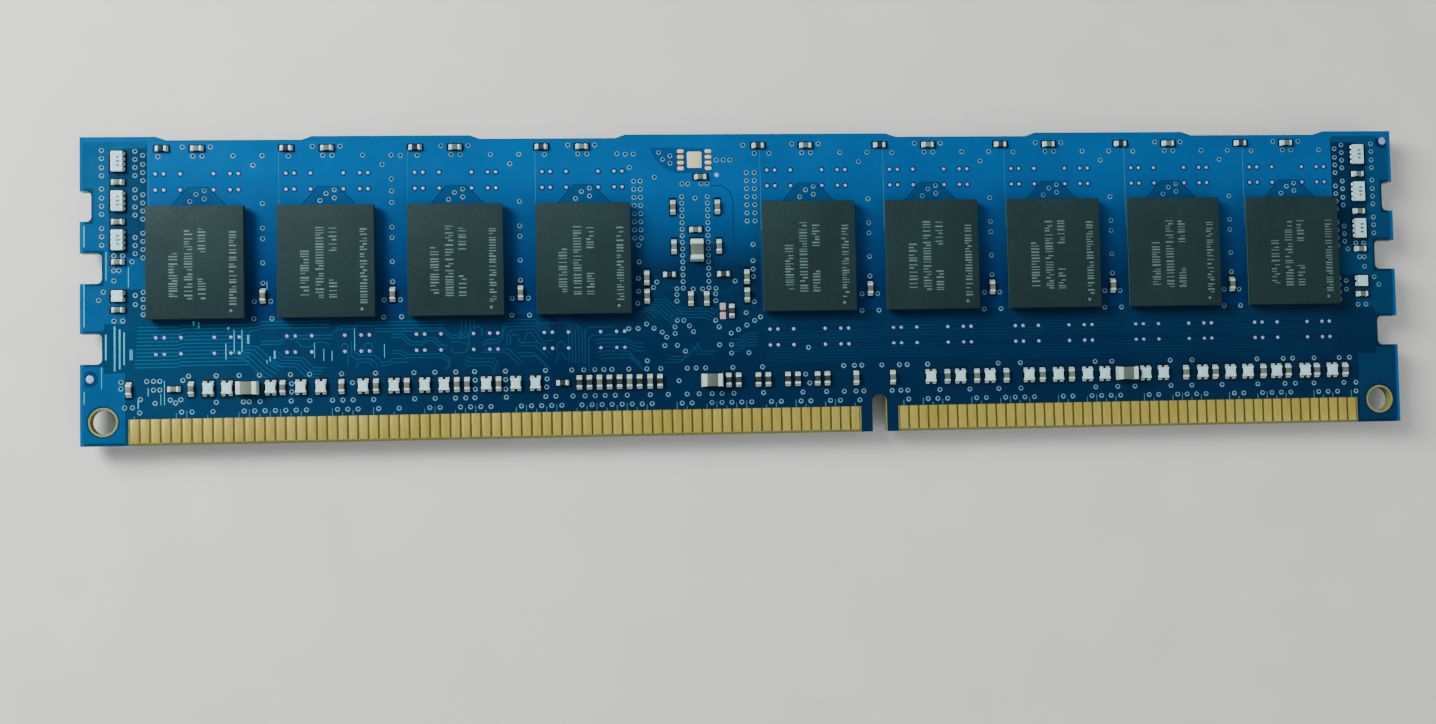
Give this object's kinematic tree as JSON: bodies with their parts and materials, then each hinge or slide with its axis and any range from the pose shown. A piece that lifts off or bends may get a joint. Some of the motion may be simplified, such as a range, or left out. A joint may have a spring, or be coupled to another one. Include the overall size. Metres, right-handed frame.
{
  "type": "memory module",
  "caption": "Flat registered memory module: blue printed board with a gold contact edge, an off-centre key notch and ball-grid memory packages on both faces.",
  "frame": {"origin": "bottom centre of the module's bounding box, at the lower face of the packages underneath", "axes": "+X along the board from the end with the long contact group, +Y from the contact edge to the opposite edge, +Z out of the face that has no register chip"},
  "size_m": [0.1334, 0.0304, 0.0037],
  "materials": {
    "laminate": "glass-epoxy laminate with a satin cut edge",
    "solder_mask": "glossy blue solder mask over copper tracks",
    "gold_contact": "thin gold plate over nickel, lightly scuffed",
    "package_mould": "fine-grained moulding compound with laser marks",
    "package_substrate": "sawn laminate edge",
    "solder": "reflowed solder, satin",
    "silicon": "ground silicon",
    "alumina": "white sintered alumina",
    "resistor_coat": "dark glassy overcoat",
    "capacitor_ceramic": "sintered beige-grey ceramic",
    "tin_terminal": "matte tin plate wetted with solder",
    "bare_land": "preserved copper land"
  },
  "bodies": {
    "root": {"bulk_capacitor_bodies": "capacitor_ceramic", "bulk_capacitor_terminals": "tin_terminal", "capacitor_bodies": "capacitor_ceramic", "capacitor_terminals": "tin_terminal", "contacts_top_long": "gold_contact", "contacts_top_short": "gold_contact", "contacts_underside_long": "gold_contact", "contacts_underside_short": "gold_contact", "dram_balls_top": "solder", "dram_balls_underside": "solder", "dram_dies_top": "silicon", "dram_dies_underside": "silicon", "dram_substrates_top": "package_substrate", "dram_substrates_underside": "package_substrate", "dram_top_1": "package_mould", "dram_top_2": "package_mould", "dram_top_3": "package_mould", "dram_top_4": "package_mould", "dram_top_5": "package_mould", "dram_top_6": "package_mould", "dram_top_7": "package_mould", "dram_top_8": "package_mould", "dram_top_9": "package_mould", "dram_underside_1": "package_mould", "dram_underside_2": "package_mould", "dram_underside_3": "package_mould", "dram_underside_4": "package_mould", "dram_underside_5": "package_mould", "dram_underside_6": "package_mould", "dram_underside_7": "package_mould", "dram_underside_8": "package_mould", "dram_underside_9": "package_mould", "end_array_bodies": "alumina", "end_array_terminals": "tin_terminal", "fiducials": "bare_land", "pcb_laminate": "laminate", "register_balls": "solder", "register_die": "silicon", "register_mould": "package_mould", "register_substrate": "package_substrate", "resistor_bodies": "resistor_coat", "resistor_terminals": "tin_terminal", "row_array_bodies": "alumina", "row_array_terminals": "tin_terminal", "sensor_body": "package_mould", "sensor_leads": "tin_terminal", "solder_mask_top": "solder_mask", "solder_mask_underside": "solder_mask", "test_lands_top": "bare_land", "test_lands_underside": "bare_land", "underside_array_bodies": "alumina", "underside_array_terminals": "tin_terminal", "underside_capacitor_bodies": "capacitor_ceramic", "underside_capacitor_terminals": "tin_terminal", "vacant_resistor_pads": "bare_land", "vacant_sensor_pads": "bare_land"}
  },
  "joints": []
}
